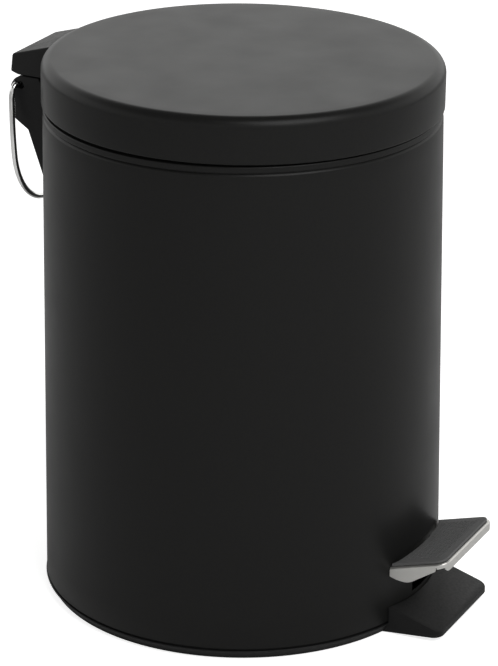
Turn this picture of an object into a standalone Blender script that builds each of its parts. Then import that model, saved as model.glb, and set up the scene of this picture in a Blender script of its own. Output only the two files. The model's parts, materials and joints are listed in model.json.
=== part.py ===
"""A 5 litre pedal bin, built from its separate pieces.

Frame: +Z up, the floor is z = 0, the body's axis is the Z axis, the pedal points to -Y and the lid's
hinge is at +Y. Run it with blender --background --python part.py, or from Blender's text editor.
"""

from math import atan, cos, pi, radians, sin, sqrt, tan

import bmesh
import bpy
from mathutils import Matrix, Vector

MM = 0.001
GAP = 0.3 * MM                      # play between pieces that touch

# Body, lid and base: turned shells around the Z axis
BODY_TOP_R = 100.1 * MM             # outside, just under the bead
BODY_FOOT_R = 103.0 * MM            # outside, at the bottom edge: the body widens a little downwards
SHEET = 0.6 * MM                    # steel of the body and the lid
BODY_BOTTOM = 6.3 * MM
SHOULDER_Z = 254.6 * MM             # the small groove under the rolled bead
NECK_R = 97.5 * MM
NECK_TOP = 277.6 * MM
LID_R = 100.7 * MM
LID_TOP = 283.6 * MM
LID_EDGE = 260.6 * MM               # lower edge of the skirt
LID_FILLET = 5.0 * MM
LID_SETTLE = radians(0.55)          # the closed lid leans a little towards the pedal
BASE_R = 103.4 * MM
BASE_TAPER = 2.6 * MM               # how much narrower its lower edge is
BASE_H = 5.2 * MM
BASE_FLOOR = 3.0 * MM
SPIGOT_H = 11.0 * MM
TURNS = 72                          # facets round the big shells

# Guard foot in front of the base
FOOT_FRONT = 126.8 * MM
FOOT_HALF = 31.8 * MM
FOOT_TOP = 14.4 * MM                # height of its top where it meets the body
FOOT_LIP = 5.7 * MM                 # height of its top at the front edge
FOOT_ROOT = 95.0 * MM               # its underside rises from here
FOOT_LIFT = 2.7 * MM                # to this height at the front edge

# Hinge between the bracket on the body and the cap on the lid
PIN_Y = 114.0 * MM
PIN_Z = 255.0 * MM
PIN_R = 1.75 * MM
KNUCKLE_R = 7.6 * MM
HINGE_HALF = 21.9 * MM              # half width of the cap and the bracket
SEAM_Z = 263.0 * MM                 # underside of the cap
TONGUE_HALF = 12.4 * MM
SLOT_HALF = 12.9 * MM
LID_OPEN = radians(70.0)

# Push rod and the arm on the lid that it lifts
ROD_Y = 94.0 * MM
ROD_R = 2.0 * MM
ARM_HALF = 8.0 * MM
ARM_DROP = LID_OPEN / 2             # the arm's foot starts this far below level and ends as far above
ARM_OFFSET = 1.2 * MM               # the foot's underside passes this far below the pin
ARM_THICK = 2.5 * MM

# Pedal lever: it turns on an axle under the bucket floor
AXLE_Y = -30.0 * MM
AXLE_Z = 14.6 * MM
AXLE_R = 2.0 * MM
LEVER_HALF = 8.0 * MM
LEVER_THICK = 2.0 * MM
PEDAL_SLOPE = atan(0.279)
REAR_SLOPE = radians(-4.25)

# Pedal plate, a pressed steel tray turned upside down, with a rubber pad on it
PLATE_HALF = 31.3 * MM
PLATE_FRONT = 128.9 * MM
PLATE_SHEET = 1.0 * MM
PLATE_BACK = 98.0 * MM              # distance of its back corners from the body's axis
PLATE_BACK_Z = 36.0 * MM            # height of its top surface there
PAD_THICK = 1.3 * MM

# Bucket floor, inner bucket and its bail
FLOOR_Z = 36.5 * MM
BUCKET_BOTTOM = 37.7 * MM
BUCKET_TOP = 245.0 * MM
BUCKET_RIM_R = 87.3 * MM
BUCKET_WALL = 1.6 * MM
BAIL_Z = 249.0 * MM
BAIL_R = 1.25 * MM

# Carry handle behind the bracket
HANDLE_Y = 117.8 * MM
HANDLE_Z = 258.0 * MM
HANDLE_R = 1.5 * MM

HOLE_R = 1.8 * MM                   # clearance holes of the small screws and rivets

collection = None
cutters = None


def body_r(z):
    """The body's outside radius at a height below the bead."""
    share = (SHOULDER_Z - z) / (SHOULDER_Z - BODY_BOTTOM)
    return BODY_TOP_R + (BODY_FOOT_R - BODY_TOP_R) * share


# ---------------------------------------------------------------- helpers

def clear_scene():
    for thing in list(bpy.data.objects):
        bpy.data.objects.remove(thing, do_unlink=True)


def new_collection(name):
    made = bpy.data.collections.new(name)
    bpy.context.scene.collection.children.link(made)
    return made


def material(name, colour, roughness, metallic=0.0):
    mat = bpy.data.materials.new(name)
    mat.use_nodes = True
    shader = mat.node_tree.nodes["Principled BSDF"]
    shader.inputs["Base Color"].default_value = (*colour, 1.0)
    shader.inputs["Roughness"].default_value = roughness
    shader.inputs["Metallic"].default_value = metallic
    return mat


def adopt(thing, name, mat):
    """Puts a piece in the object's collection under its own name, with its own material."""
    for old in list(thing.users_collection):
        old.objects.unlink(thing)
    collection.objects.link(thing)
    thing.name = name
    thing.data.name = name
    own = mat.copy()
    own.name = name + "_" + mat.name
    thing.data.materials.clear()
    thing.data.materials.append(own)
    return thing


def make_cutter(thing, name):
    """Puts a tool body in the cutters' collection, unseen."""
    for old in list(thing.users_collection):
        old.objects.unlink(thing)
    cutters.objects.link(thing)
    thing.name = name
    thing.hide_render = True
    thing.display_type = "WIRE"
    return thing


def boolean(target, tool, operation):
    mod = target.modifiers.new(tool.name, "BOOLEAN")
    mod.operation = operation
    mod.object = tool
    mod.solver = "EXACT"
    return target


def smooth(thing, angle=radians(35)):
    thing.data.shade_smooth()
    thing.data.set_sharp_from_angle(angle=angle)
    return thing


def pivot(name, y, z, tilt=0.0):
    """An empty on a joint's axis, which runs along X."""
    empty = bpy.data.objects.new(name, None)
    empty.empty_display_size = 10 * MM
    empty.location = (0.0, y, z)
    empty.rotation_euler = (tilt, 0.0, 0.0)
    collection.objects.link(empty)
    return empty


def hang(thing, empty):
    """Parents a piece that was modelled level to the empty of its joint."""
    thing.parent = empty
    thing.matrix_parent_inverse = Matrix.Translation(-Vector(empty.location))
    return thing


def arc(centre, radius, start, end, steps):
    """Points of a round stretch, from one angle to another, in degrees."""
    angles = [radians(start + (end - start) * i / steps) for i in range(steps + 1)]
    return [(centre[0] + radius * cos(a), centre[1] + radius * sin(a)) for a in angles]


def turned(name, profile, steps=TURNS):
    """A profile of (radius, height) points turned round Z. Its outer side runs from top to bottom."""
    mesh = bpy.data.meshes.new(name)
    edges = [(i, i + 1) for i in range(len(profile) - 1)]
    mesh.from_pydata([(r, 0.0, z) for r, z in profile], edges, [])
    thing = bpy.data.objects.new(name, mesh)
    collection.objects.link(thing)
    screw = thing.modifiers.new("turn", "SCREW")
    screw.axis = "Z"
    screw.angle = 2 * pi
    screw.steps = steps
    screw.render_steps = steps
    screw.use_merge_vertices = True
    screw.merge_threshold = 0.00001
    screw.use_smooth_shade = True
    return thing


def sheet_metal(thing, thickness):
    """Gives an open surface its thickness, inwards."""
    solid = thing.modifiers.new("sheet", "SOLIDIFY")
    solid.thickness = thickness
    solid.offset = -1.0
    return thing


def extruded(name, outline, half, side=True, centre=0.0):
    """A flat outline given a thickness of twice half. With side set it is an outline of (y, z) points,
    extruded along X round x = centre, and otherwise one of (x, y) points, extruded along Z."""
    curve = bpy.data.curves.new(name, "CURVE")
    curve.dimensions = "2D"
    curve.fill_mode = "BOTH"
    curve.extrude = half
    spline = curve.splines.new("POLY")
    spline.points.add(len(outline) - 1)
    for point, (u, v) in zip(spline.points, outline):
        point.co = (u, v, 0.0, 1.0)
    spline.use_cyclic_u = True
    thing = bpy.data.objects.new(name, curve)
    collection.objects.link(thing)
    if side:
        thing.rotation_euler = (pi / 2, 0.0, pi / 2)
        thing.location = (centre, 0.0, 0.0)
    else:
        thing.location = (0.0, 0.0, centre)
    return as_mesh(thing)


def as_mesh(curve_object):
    """Turns a curve object into a closed mesh object, in the same place."""
    bpy.context.view_layer.update()
    evaluated = curve_object.evaluated_get(bpy.context.evaluated_depsgraph_get())
    mesh = bpy.data.meshes.new_from_object(evaluated)
    work = bmesh.new()
    work.from_mesh(mesh)
    bmesh.ops.remove_doubles(work, verts=work.verts, dist=0.000002)
    bmesh.ops.recalc_face_normals(work, faces=work.faces)
    work.to_mesh(mesh)
    work.free()
    made = bpy.data.objects.new(curve_object.name, mesh)
    collection.objects.link(made)
    made.matrix_world = curve_object.matrix_world
    bpy.data.objects.remove(curve_object, do_unlink=True)
    return made


def cylinder(radius, length, centre, axis="X", sides=24):
    turn = {"X": (0.0, pi / 2, 0.0), "Y": (pi / 2, 0.0, 0.0), "Z": (0.0, 0.0, 0.0)}[axis]
    bpy.ops.mesh.primitive_cylinder_add(vertices=sides, radius=radius, depth=length,
                                        location=centre, rotation=turn)
    return bpy.context.object


def box(low, high):
    middle = [(a + b) / 2 for a, b in zip(low, high)]
    bpy.ops.mesh.primitive_cube_add(size=1.0, location=middle)
    thing = bpy.context.object
    thing.scale = [b - a for a, b in zip(low, high)]
    bpy.ops.object.transform_apply(location=False, rotation=False, scale=True)
    return thing


def wire(name, points, radius):
    """A round wire along the points, with closed ends."""
    curve = bpy.data.curves.new(name, "CURVE")
    curve.dimensions = "3D"
    curve.bevel_depth = radius
    curve.bevel_resolution = 2
    curve.use_fill_caps = True
    spline = curve.splines.new("POLY")
    spline.points.add(len(points) - 1)
    for point, place in zip(spline.points, points):
        point.co = (*place, 1.0)
    thing = bpy.data.objects.new(name, curve)
    collection.objects.link(thing)
    return as_mesh(thing)


def screw_body(name, mat, centre_head, axis, head_r, head_h, shank_r, shank_length, direction=1):
    """A pan-head screw or rivet: its head's middle, and a shank that runs on from the head along axis."""
    unit = {"X": Vector((1, 0, 0)), "Y": Vector((0, 1, 0)), "Z": Vector((0, 0, 1))}[axis]
    head = cylinder(head_r, head_h, centre_head, axis, 20)
    overlap = 0.2 * MM
    middle = Vector(centre_head) + unit * direction * (head_h + shank_length - overlap) / 2
    shank = make_cutter(cylinder(shank_r, shank_length + overlap, middle, axis, 16), name + "_shank")
    boolean(head, shank, "UNION")
    return smooth(adopt(head, name, mat)), shank


# ---------------------------------------------------------------- materials

def materials():
    return {
        "coat": material("black_powder_coat", (0.022, 0.022, 0.021), 0.42),
        "plastic": material("black_plastic", (0.016, 0.016, 0.016), 0.5),
        "rubber": material("black_rubber", (0.012, 0.012, 0.012), 0.75),
        "steel": material("brushed_steel", (0.58, 0.56, 0.52), 0.32, 1.0),
        "chrome": material("chrome_wire", (0.72, 0.72, 0.70), 0.12, 1.0),
        "zinc": material("zinc_plate", (0.50, 0.51, 0.52), 0.45, 1.0),
        "bucket": material("bucket_plastic", (0.035, 0.035, 0.036), 0.48),
    }


# ---------------------------------------------------------------- body

def foot_outline(half):
    """Plan of the guard foot, with round front corners."""
    round_r = 5.0 * MM
    front = -FOOT_FRONT
    back = -80.0 * MM
    points = [(half, back), (-half, back)]
    points += arc((-half + round_r, front + round_r), round_r, 180, 270, 5)
    points += arc((half - round_r, front + round_r), round_r, 270, 360, 5)
    return points


def base_moulding(mats):
    """The plastic base: a ring with a floor, a spigot inside the body, and the guard foot in front."""
    pad_r = 58.0 * MM               # the middle of the underside stands on the floor with the ring
    recess = 1.2 * MM
    spigot_r = BODY_FOOT_R - SHEET - 0.45 * MM
    wall = 2.2 * MM
    profile = [
        (0.0, BASE_FLOOR), (spigot_r - wall, BASE_FLOOR), (spigot_r - wall, SPIGOT_H),
        (spigot_r, SPIGOT_H), (spigot_r, BASE_H), (BASE_R - 0.4 * MM, BASE_H), (BASE_R, BASE_H - 0.4 * MM),
        (BASE_R - BASE_TAPER + 0.6 * MM, 0.6 * MM), (BASE_R - BASE_TAPER, 0.0),
        (92.0 * MM, 0.0), (91.5 * MM, recess),
        (pad_r + 0.5 * MM, recess), (pad_r, 0.0), (0.0, 0.0),
    ]
    base = turned("base_moulding", profile)

    foot = extruded("foot_block", foot_outline(FOOT_HALF), 10 * MM, side=False, centre=10 * MM)
    make_cutter(foot, "foot_block")
    rise = (FOOT_TOP - FOOT_LIP) / (FOOT_FRONT - 98.5 * MM)
    slope = extruded("foot_slope", [
        (-(FOOT_FRONT + 20 * MM), FOOT_LIP - rise * 20 * MM),
        (-60 * MM, FOOT_TOP + rise * 38.5 * MM),
        (-60 * MM, 60 * MM), (-(FOOT_FRONT + 20 * MM), 60 * MM)], 45 * MM)
    make_cutter(slope, "foot_slope")
    boolean(foot, slope, "DIFFERENCE")
    far = FOOT_FRONT + 20 * MM
    far_lift = FOOT_LIFT * (far - FOOT_ROOT) / (FOOT_FRONT - FOOT_ROOT)
    under = extruded("foot_under", [(-FOOT_ROOT, 0.0), (-far, far_lift), (-far, -5 * MM),
                                    (-FOOT_ROOT, -5 * MM)], 45 * MM)
    boolean(foot, make_cutter(under, "foot_under"), "DIFFERENCE")
    body_room = make_cutter(cylinder(BODY_FOOT_R + 0.35 * MM, 30 * MM, (0, 0, BASE_H - 0.05 * MM + 15 * MM),
                                     "Z", TURNS), "foot_body_room")
    boolean(foot, body_room, "DIFFERENCE")
    boolean(base, foot, "UNION")

    for y in (AXLE_Y - 13 * MM, AXLE_Y + 13 * MM):
        hole = cylinder(HOLE_R, 10 * MM, (0, y, 0.8 * MM + 5 * MM), "Z", 16)
        boolean(base, make_cutter(hole, "base_screw_hole"), "DIFFERENCE")
    return smooth(adopt(base, "base_moulding", mats["plastic"]))


def body_profile():
    """The outside of the body, from the neck's top edge down to its bottom edge."""
    return [
        (NECK_R, NECK_TOP),
        (NECK_R, SHOULDER_Z + 5.2 * MM),
        (NECK_R + 0.4 * MM, SHOULDER_Z + 4.4 * MM),
        (BODY_TOP_R - 1.3 * MM, SHOULDER_Z + 4.1 * MM),
        (BODY_TOP_R - 0.75 * MM, SHOULDER_Z + 3.5 * MM),
        (BODY_TOP_R - 0.3 * MM, SHOULDER_Z + 0.9 * MM),
        (BODY_TOP_R - 0.5 * MM, SHOULDER_Z),
        (BODY_TOP_R - 0.1 * MM, SHOULDER_Z - 0.9 * MM),
        (body_r(SHOULDER_Z - 2.0 * MM), SHOULDER_Z - 2.0 * MM),
        (body_r(130.0 * MM), 130.0 * MM),
        (BODY_FOOT_R, BODY_BOTTOM),
    ]


def bracket_screw_places():
    return [(x, z) for z in (223 * MM, 241 * MM) for x in (-13 * MM, 13 * MM)]


def body_shell(mats):
    body = sheet_metal(turned("body_shell", body_profile()), SHEET)
    slot = box((-11 * MM, -110 * MM, 15.2 * MM), (11 * MM, -90 * MM, 37.4 * MM))
    boolean(body, make_cutter(slot, "lever_slot"), "DIFFERENCE")
    notch = box((-10 * MM, 92 * MM, 251.8 * MM), (10 * MM, 110 * MM, NECK_TOP + 5 * MM))
    boolean(body, make_cutter(notch, "arm_notch"), "DIFFERENCE")
    for x, z in bracket_screw_places():
        hole = cylinder(1.9 * MM, 12 * MM, (x, 99.5 * MM, z), "Y", 16)
        boolean(body, make_cutter(hole, "body_screw_hole"), "DIFFERENCE")
    return smooth(adopt(body, "body_shell", mats["coat"]))


def floor_disc(mats):
    """The steel floor under the bucket: a shallow pan that hides the lever, pressed into the body."""
    r = body_r(FLOOR_Z) - SHEET - 0.6 * MM
    profile = [(r, FLOOR_Z + 8 * MM), (r, FLOOR_Z + 1.5 * MM), (r - 1.5 * MM, FLOOR_Z), (0.0, FLOOR_Z)]
    disc = sheet_metal(turned("floor_disc", profile), 0.8 * MM)
    hole = cylinder(ROD_R + 0.6 * MM, 10 * MM, (0, ROD_Y, FLOOR_Z), "Z", 20)
    boolean(disc, make_cutter(hole, "rod_hole"), "DIFFERENCE")
    return smooth(adopt(disc, "floor_disc", mats["zinc"]))


def lever_bracket(mats):
    """A pressed U that holds the lever's axle, screwed to the base."""
    low = BASE_FLOOR + GAP
    plate = 1.2 * MM
    inner = 9.2 * MM
    outer = inner + plate
    ends = 19 * MM
    bracket = box((-outer, AXLE_Y - ends, low), (outer, AXLE_Y + ends, low + plate))
    for side in (-1, 1):
        middle = side * (inner + outer) / 2
        outline = [(AXLE_Y - 8 * MM, low + 0.2 * MM), (AXLE_Y + 8 * MM, low + 0.2 * MM)]
        outline += arc((AXLE_Y, AXLE_Z), 5 * MM, 20, 160, 8)
        cheek = extruded("cheek", outline, plate / 2, centre=middle)
        boolean(bracket, make_cutter(cheek, "bracket_cheek"), "UNION")
    hole = cylinder(AXLE_R + GAP, 40 * MM, (0, AXLE_Y, AXLE_Z), "X")
    boolean(bracket, make_cutter(hole, "axle_hole"), "DIFFERENCE")
    for y in (AXLE_Y - 13 * MM, AXLE_Y + 13 * MM):
        hole = cylinder(HOLE_R, 6 * MM, (0, y, low), "Z", 16)
        boolean(bracket, make_cutter(hole, "bracket_screw_hole"), "DIFFERENCE")
    adopt(bracket, "lever_bracket", mats["zinc"])

    for name, y in (("bracket_screw_front", AXLE_Y - 13 * MM), ("bracket_screw_rear", AXLE_Y + 13 * MM)):
        head_z = low + plate + GAP + 0.8 * MM
        screw_body(name, mats["zinc"], (0, y, head_z), "Z", 3.0 * MM, 1.6 * MM, 1.4 * MM, 3.4 * MM, -1)
    return bracket


def lever_axle(mats):
    """The pin of the lever, with a head at each end, riveted over outside the bracket's cheeks."""
    reach = 12.0 * MM
    head_h = 1.2 * MM
    axle = cylinder(AXLE_R, 2 * reach, (0, AXLE_Y, AXLE_Z), "X", 20)
    for side in (-1, 1):
        head = cylinder(3.2 * MM, head_h, (side * (10.4 * MM + GAP + head_h / 2), AXLE_Y, AXLE_Z), "X", 20)
        boolean(axle, make_cutter(head, "axle_head"), "UNION")
    return smooth(adopt(axle, "lever_axle", mats["zinc"]))


def rod_guide(mats):
    """A plastic clip inside the body that keeps the push rod upright."""
    inside = body_r(155 * MM) - SHEET - 0.4 * MM
    half = 7.0 * MM
    outline = [(half, 90.6 * MM), (half, sqrt(inside ** 2 - half ** 2))]
    outline += [(x, sqrt(inside ** 2 - x ** 2)) for x in (4 * MM, 0.0, -4 * MM)]
    outline += [(-half, sqrt(inside ** 2 - half ** 2)), (-half, 90.6 * MM)]
    guide = extruded("rod_guide", outline, 5 * MM, side=False, centre=150 * MM)
    hole = cylinder(ROD_R + 0.4 * MM, 30 * MM, (0, ROD_Y, 150 * MM), "Z", 20)
    boolean(guide, make_cutter(hole, "guide_hole"), "DIFFERENCE")
    return adopt(guide, "rod_guide", mats["plastic"])


# ---------------------------------------------------------------- hinge

def lid_envelope(name, play):
    """A solid a little larger than the outside of the closed lid, to cut the hinge cap with."""
    r = LID_R + play
    top = LID_TOP + play
    fillet = LID_FILLET + play
    profile = [(0.0, top)]
    profile += arc((r - fillet, top - fillet), fillet, 90, 0, 6)
    profile += [(r, 240 * MM), (0.0, 240 * MM)]
    return make_cutter(turned(name, profile), name)


def rear_bracket(mats):
    """The plastic hinge bracket on the back of the body, with its screws."""
    rear = 119.4 * MM
    outline = [(96 * MM, 203 * MM), (101.6 * MM, 203 * MM), (103.4 * MM, 210 * MM),
               (111.9 * MM, 234.4 * MM), (rear, 239.4 * MM), (rear, 250.6 * MM)]
    outline += arc((PIN_Y, PIN_Z), KNUCKLE_R, -22, 90, 12)
    outline += [(104.9 * MM, PIN_Z + KNUCKLE_R), (102.4 * MM, 257.6 * MM), (96 * MM, 257.6 * MM)]
    bracket = extruded("rear_bracket", outline, HINGE_HALF)

    room = turned("bracket_body_room", [
        (0.0, 280 * MM), (102.4 * MM, 280 * MM), (102.4 * MM, 251 * MM),
        (body_r(250 * MM) + GAP, 250 * MM), (body_r(180 * MM) + GAP, 180 * MM), (0.0, 180 * MM)])
    boolean(bracket, make_cutter(room, "bracket_body_room"), "DIFFERENCE")
    slot = box((-SLOT_HALF, 106.5 * MM, PIN_Z - 6.2 * MM), (SLOT_HALF, 130 * MM, 275 * MM))
    boolean(bracket, make_cutter(slot, "tongue_slot"), "DIFFERENCE")
    bore = cylinder(PIN_R + GAP, 2 * 19.4 * MM, (0, PIN_Y, PIN_Z), "X", 20)
    boolean(bracket, make_cutter(bore, "pin_bore"), "DIFFERENCE")
    for side in (-1, 1):
        eye = cylinder(HANDLE_R + GAP, 8.4 * MM, (side * 19.1 * MM, HANDLE_Y, HANDLE_Z), "X", 16)
        boolean(bracket, make_cutter(eye, "handle_eye"), "DIFFERENCE")
    for x, z in bracket_screw_places():
        deep = 8.0 * MM if z > 230 * MM else 3.4 * MM
        hole = cylinder(HOLE_R, 20 * MM, (x, 100.4 * MM + deep - 10 * MM, z), "Y", 16)
        boolean(bracket, make_cutter(hole, "screw_bore"), "DIFFERENCE")
    smooth(adopt(bracket, "rear_bracket", mats["plastic"]), radians(30))

    for i, (x, z) in enumerate(bracket_screw_places()):
        long = z > 230 * MM
        head_y = 96.7 * MM
        length = 9.3 * MM if long else 5.1 * MM
        screw_body(f"hinge_screw_{i + 1}", mats["zinc"], (x, head_y, z), "Y",
                   3.0 * MM, 1.6 * MM, 1.4 * MM, length)
    return bracket


def hinge_pin(mats):
    return smooth(adopt(cylinder(PIN_R, 2 * 19 * MM, (0, PIN_Y, PIN_Z), "X", 20), "hinge_pin", mats["zinc"]))


# ---------------------------------------------------------------- lid

def lid_shell(mats, axis):
    profile = [(0.0, LID_TOP), (60 * MM, LID_TOP)]
    profile += arc((LID_R - LID_FILLET, LID_TOP - LID_FILLET), LID_FILLET, 90, 0, 6)
    profile += [(LID_R, LID_EDGE + 2.0 * MM), (LID_R - 0.25 * MM, LID_EDGE + 0.8 * MM),
                (LID_R - 0.8 * MM, LID_EDGE)]
    lid = hang(sheet_metal(turned("lid_shell", profile), SHEET), axis)
    for x in (-5 * MM, 5 * MM):
        hole = hang(cylinder(HOLE_R, 10 * MM, (x, LID_R, 270 * MM), "Y", 16), axis)
        boolean(lid, make_cutter(hole, "lid_screw_hole"), "DIFFERENCE")
    return smooth(adopt(lid, "lid_shell", mats["coat"]))


def hinge_cap(mats, axis):
    """The plastic cap on the back of the lid, with the tongue that turns on the pin."""
    outline = [(96 * MM, SEAM_Z), (117.0 * MM, SEAM_Z), (121.2 * MM, 264.4 * MM), (120.3 * MM, 272.6 * MM)]
    outline += arc((118.5 * MM, 272.4 * MM), 1.8 * MM, 5, 72, 4)
    outline += [(98.5 * MM, 280.1 * MM), (96 * MM, 280.8 * MM)]
    cap = hang(extruded("hinge_cap", outline, HINGE_HALF), axis)
    boolean(cap, hang(lid_envelope("cap_lid_room", GAP + 0.05 * MM), axis), "DIFFERENCE")
    tongue_r = 5.4 * MM
    tongue = [(109.2 * MM, SEAM_Z + 1 * MM), (PIN_Y - tongue_r, PIN_Z)]
    tongue += arc((PIN_Y, PIN_Z), tongue_r, 190, 360, 12)
    tongue += [(118.8 * MM, SEAM_Z + 1.4 * MM)]
    tongue = hang(make_cutter(extruded("cap_tongue", tongue, TONGUE_HALF), "cap_tongue"), axis)
    boolean(cap, tongue, "UNION")
    bore = hang(make_cutter(cylinder(PIN_R + GAP, 60 * MM, (0, PIN_Y, PIN_Z), "X", 20), "cap_bore"), axis)
    boolean(cap, bore, "DIFFERENCE")
    for x in (-5 * MM, 5 * MM):
        hole = hang(cylinder(HOLE_R, 20 * MM, (x, 99.5 * MM, 270 * MM), "Y", 16), axis)
        boolean(cap, make_cutter(hole, "cap_screw_bore"), "DIFFERENCE")
    return smooth(adopt(cap, "hinge_cap", mats["plastic"]), radians(30))


def lid_arm(mats, axis):
    """The moulded arm inside the lid. The push rod lifts its slanted foot."""
    along = Vector((-cos(ARM_DROP), -sin(ARM_DROP)))
    under = Vector((sin(ARM_DROP), -cos(ARM_DROP)))
    pin = Vector((PIN_Y, PIN_Z))
    toe_under = pin + along * 26 * MM + under * ARM_OFFSET
    toe_top = pin + along * 26 * MM + under * (ARM_OFFSET - ARM_THICK)
    leg_back = 98.2 * MM
    leg_front = 96.4 * MM
    heel_under = toe_under + (leg_back - toe_under.x) / along.x * along
    heel_top = toe_top + (leg_front - toe_top.x) / along.x * along
    outline = [(leg_front, 275.5 * MM), tuple(heel_top), tuple(toe_top), tuple(toe_under), tuple(heel_under),
               (leg_back, 260 * MM), (99.1 * MM, 262 * MM), (99.1 * MM, 275.5 * MM)]
    arm = hang(extruded("lid_arm", outline, ARM_HALF), axis)
    for x in (-5 * MM, 5 * MM):
        hole = hang(cylinder(HOLE_R, 20 * MM, (x, 99 * MM, 270 * MM), "Y", 16), axis)
        boolean(arm, make_cutter(hole, "arm_screw_hole"), "DIFFERENCE")
    adopt(arm, "lid_arm", mats["plastic"])
    for name, x in (("lid_screw_left", -5 * MM), ("lid_screw_right", 5 * MM)):
        head, shank = screw_body(name, mats["zinc"], (x, 95.3 * MM, 270 * MM), "Y",
                                 2.8 * MM, 1.6 * MM, 1.4 * MM, 11.6 * MM)
        hang(head, axis)
        hang(shank, axis)
    return arm


def lid_bumpers(mats, axis):
    """Rubber studs inside the lid that rest on the neck's edge."""
    for name, side in (("lid_bumper_left", -1), ("lid_bumper_right", 1)):
        angle = radians(50)
        x = side * 93.5 * MM * sin(angle)
        y = -93.5 * MM * cos(angle)
        droop = (PIN_Y - y) * tan(LID_SETTLE)
        low = NECK_TOP + GAP + droop + 0.1 * MM
        high = LID_TOP - SHEET - 2 * GAP
        stud = hang(cylinder(4 * MM, high - low, (x, y, (low + high) / 2), "Z", 20), axis)
        smooth(adopt(stud, name, mats["rubber"]))


# ---------------------------------------------------------------- pedal

def plate_top(rho):
    """Height of the pedal plate's top surface at a distance in front of the body's axis."""
    return PLATE_BACK_Z + (rho - PLATE_BACK) * tan(PEDAL_SLOPE)


def pedal_plan(inset, corner, back_r):
    """Plan of the pedal: round front corners and a back edge that follows the body."""
    half = PLATE_HALF - inset
    front = -(PLATE_FRONT - inset)
    back = [(x, -sqrt(back_r ** 2 - x ** 2)) for x in [half * k / 6 for k in range(6, -7, -1)]]
    points = back
    points += arc((-half + corner, front + corner), corner, 180, 270, 6)
    points += arc((half - corner, front + corner), corner, 270, 360, 6)
    return points


def pedal_band(top_shift, depth):
    """Side view of a slab under the pedal's top surface, long enough to cut across the whole pedal."""
    near, far = 80 * MM, 150 * MM
    return [(-near, plate_top(near) + top_shift), (-far, plate_top(far) + top_shift),
            (-far, plate_top(far) + top_shift - depth), (-near, plate_top(near) + top_shift - depth)]


def flange_side():
    """Side view of the pressed tray: its sloping top, the front flange and the curved side flanges."""
    back = 95 * MM
    front = 132 * MM
    return [
        (-back, plate_top(back)), (-back, 35.5 * MM), (-97.0 * MM, 34.4 * MM), (-99.2 * MM, 32.4 * MM),
        (-102.5 * MM, 30.7 * MM), (-106.6 * MM, 30.0 * MM), (-110.0 * MM, 30.9 * MM),
        (-124.6 * MM, 39.6 * MM), (-126.4 * MM, 38.9 * MM),
        (-front, 39.4 * MM), (-front, plate_top(front))]


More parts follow.
